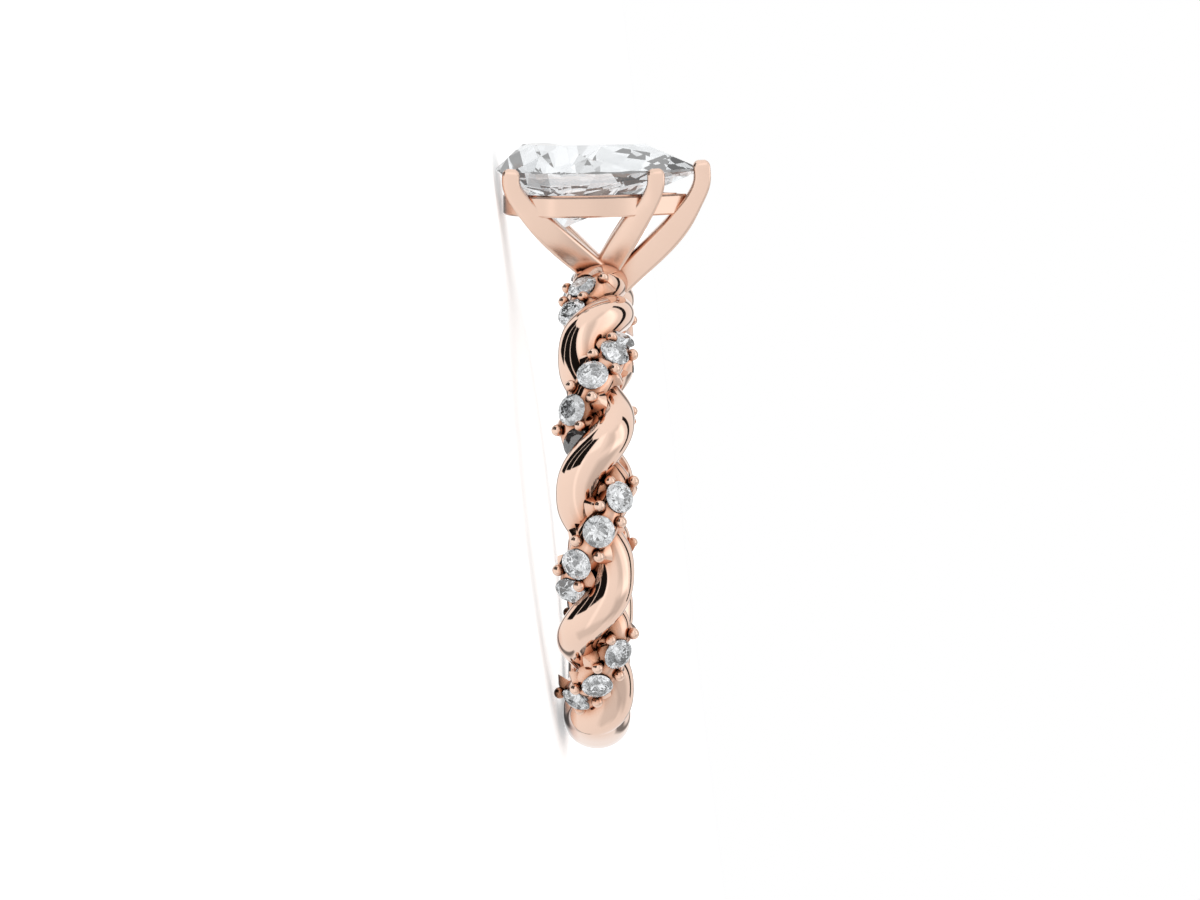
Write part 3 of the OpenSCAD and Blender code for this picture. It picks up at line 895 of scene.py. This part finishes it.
def makeStudio():
    # white all round, minus a few soft-edged dark cards that give the metal its dark stripes
    world = bpy.data.worlds.new("studio")
    bpy.context.scene.world = world
    world.use_nodes = True
    nodes, links = world.node_tree.nodes, world.node_tree.links
    nodes.clear()

    def math(kind, a, b=None, c=None):
        node = nodes.new("ShaderNodeMath")
        node.operation = kind
        for socket, value in zip(node.inputs, (a, b, c)):
            if value is None:
                continue
            if isinstance(value, (int, float)):
                socket.default_value = value
            else:
                links.new(value, socket)
        return node.outputs[0]

    place = nodes.new("ShaderNodeTexCoord").outputs["Generated"]

    def part(axis):
        dot = nodes.new("ShaderNodeVectorMath")
        dot.operation = "DOT_PRODUCT"
        links.new(place, dot.inputs[0])
        dot.inputs[1].default_value = axis
        return dot.outputs["Value"]

    x, y, z = part(fingerDir), part(-awayDir), part(headDir)
    bright = studio["white"]
    for direction, more in zip((x, y, z), studio["slope"]):
        bright = math("MULTIPLY_ADD", direction, more, bright)
    azimuth = math("MULTIPLY", math("ARCTAN2", x, y), 180 / np.pi)
    elevation = math("MULTIPLY", math("ARCSINE", z), 180 / np.pi)
    light = None
    for middle, height, wide, tall, soft, dark in studio["cards"]:
        dx = math("WRAP", math("SUBTRACT", azimuth, middle), 180.0, -180.0)
        dz = math("SUBTRACT", elevation, height)
        inX = math("SUBTRACT", wide, math("ABSOLUTE", dx))
        inZ = math("SUBTRACT", tall, math("ABSOLUTE", dz))
        card = math("MULTIPLY", math("MINIMUM", inX, inZ), 1 / soft)
        card = math("MULTIPLY", math("MINIMUM", math("MAXIMUM", card, 0.0), 1.0), dark)
        passed = math("SUBTRACT", 1.0, card)
        light = passed if light is None else math("MULTIPLY", light, passed)
    rays = nodes.new("ShaderNodeLightPath").outputs
    # light seen through the stones: light + (1 - share) x (1 - light)
    lift = math("MULTIPLY", math("SUBTRACT", 1.0, light), 1 - studio["throughStones"])
    light = math("MULTIPLY_ADD", rays["Is Transmission Ray"], lift, light)
    tent = nodes.new("ShaderNodeBackground")
    tent.inputs["Color"].default_value = (1, 1, 1, 1)
    links.new(math("MULTIPLY_ADD", light, bright, studio["least"]), tent.inputs["Strength"])
    backdrop = nodes.new("ShaderNodeBackground")
    backdrop.inputs["Color"].default_value = (1, 1, 1, 1)
    backdrop.inputs["Strength"].default_value = studio["shown"]
    mix = nodes.new("ShaderNodeMixShader")
    links.new(rays["Is Camera Ray"], mix.inputs["Fac"])
    links.new(tent.outputs["Background"], mix.inputs[1])
    links.new(backdrop.outputs["Background"], mix.inputs[2])
    output = nodes.new("ShaderNodeOutputWorld")
    links.new(mix.outputs["Shader"], output.inputs["Surface"])


makeStudio()
bpy.context.scene.view_settings.view_transform = "Standard"
print("camera, floor and studio made")
